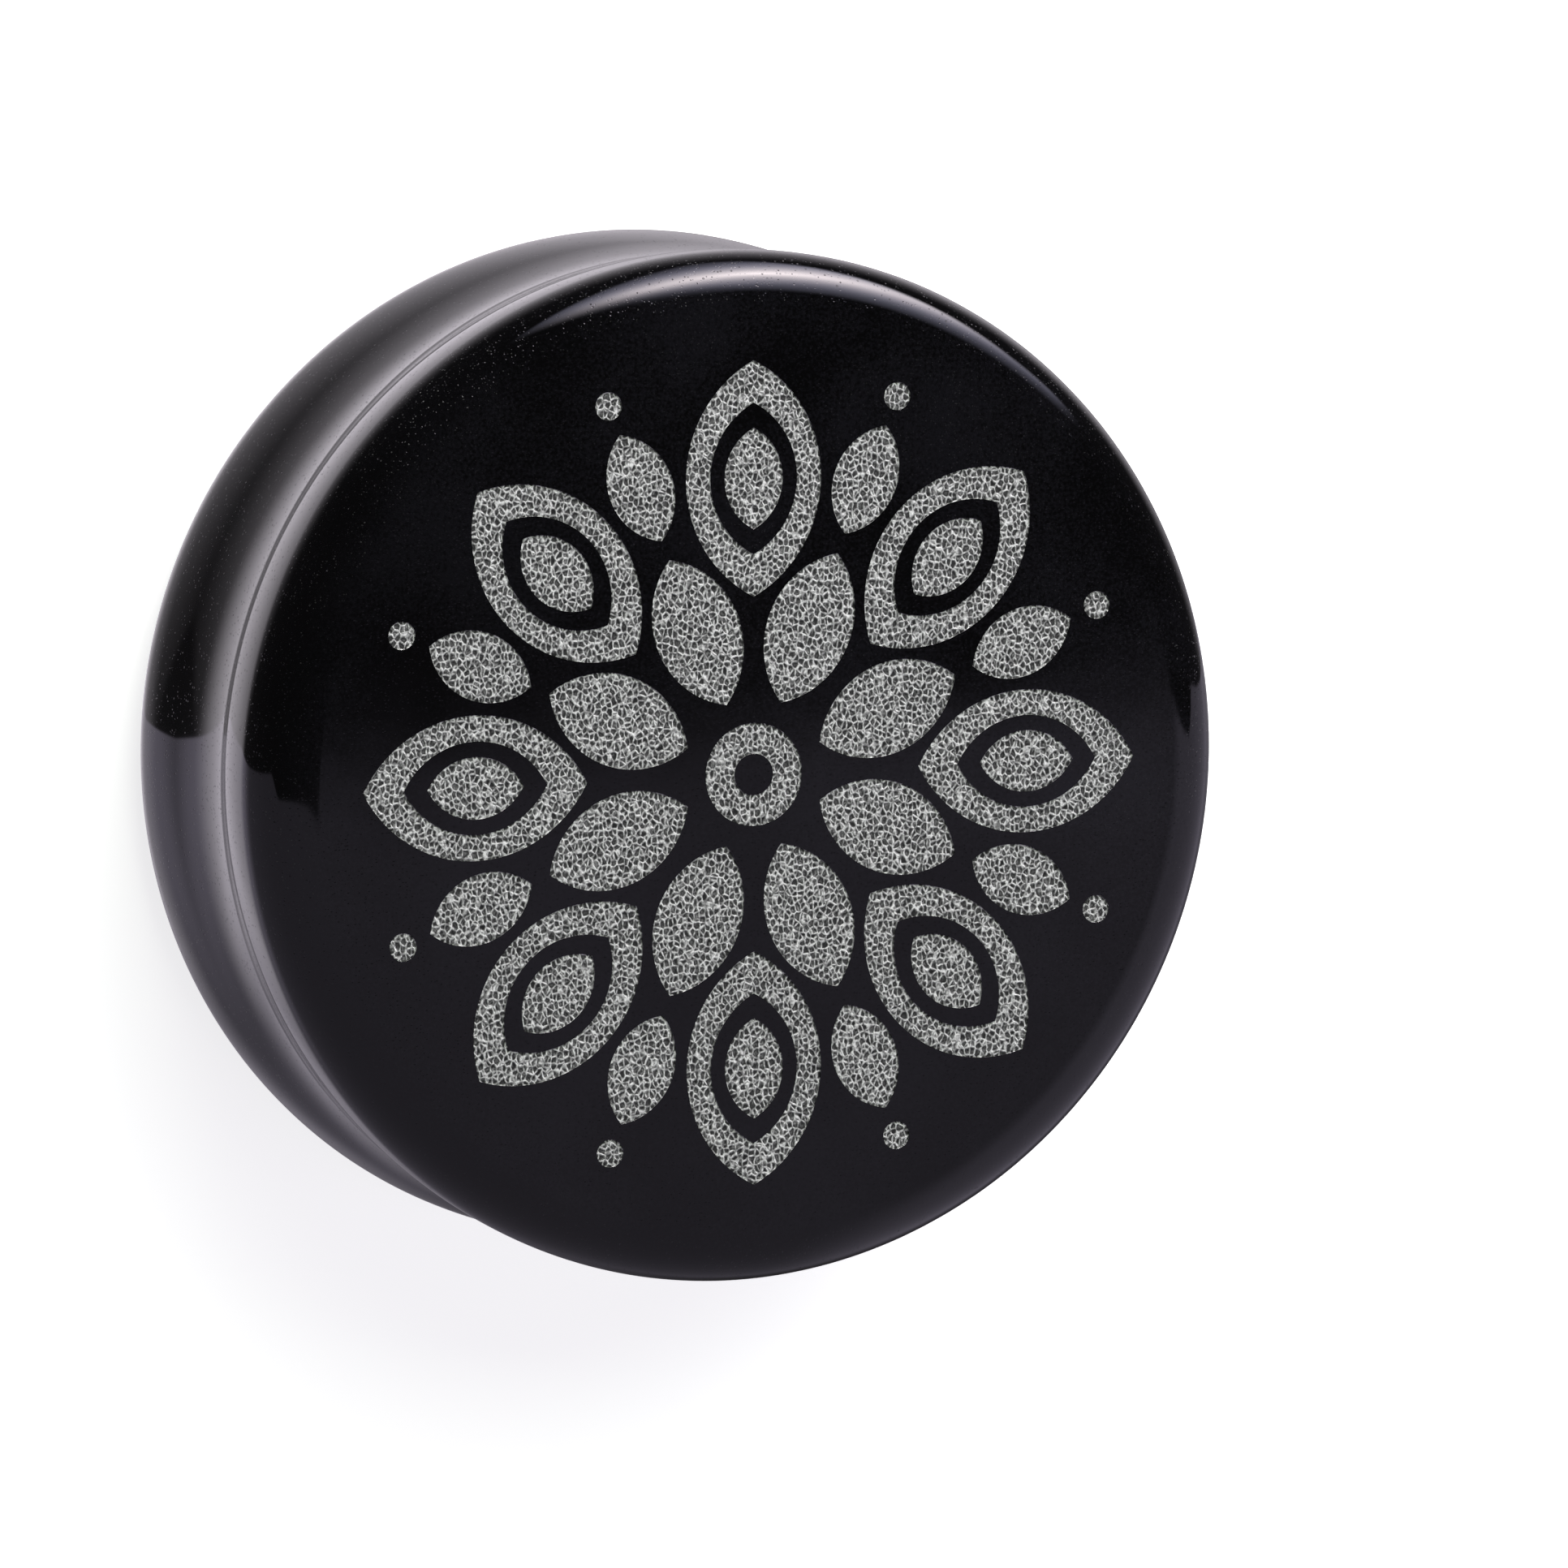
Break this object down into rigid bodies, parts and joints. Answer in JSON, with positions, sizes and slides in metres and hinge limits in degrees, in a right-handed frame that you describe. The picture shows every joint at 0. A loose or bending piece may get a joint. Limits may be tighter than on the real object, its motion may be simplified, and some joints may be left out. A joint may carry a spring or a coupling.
{
  "type": "double flare ear plug",
  "caption": "Spool-shaped ear plug of polished black volcanic glass, flared at both ends, with an etched rosette on its front face.",
  "frame": {"origin": "centre of the plain back face, on which the plug lies", "axes": "+Z along the plug's axis towards the etched front face, +Y towards the top of the rosette as worn, +X to the right seen from the front"},
  "size_m": [0.035, 0.035, 0.014],
  "materials": {
    "obsidian": "polished"
  },
  "bodies": {
    "root": {"ear_plug": "obsidian"}
  },
  "joints": []
}
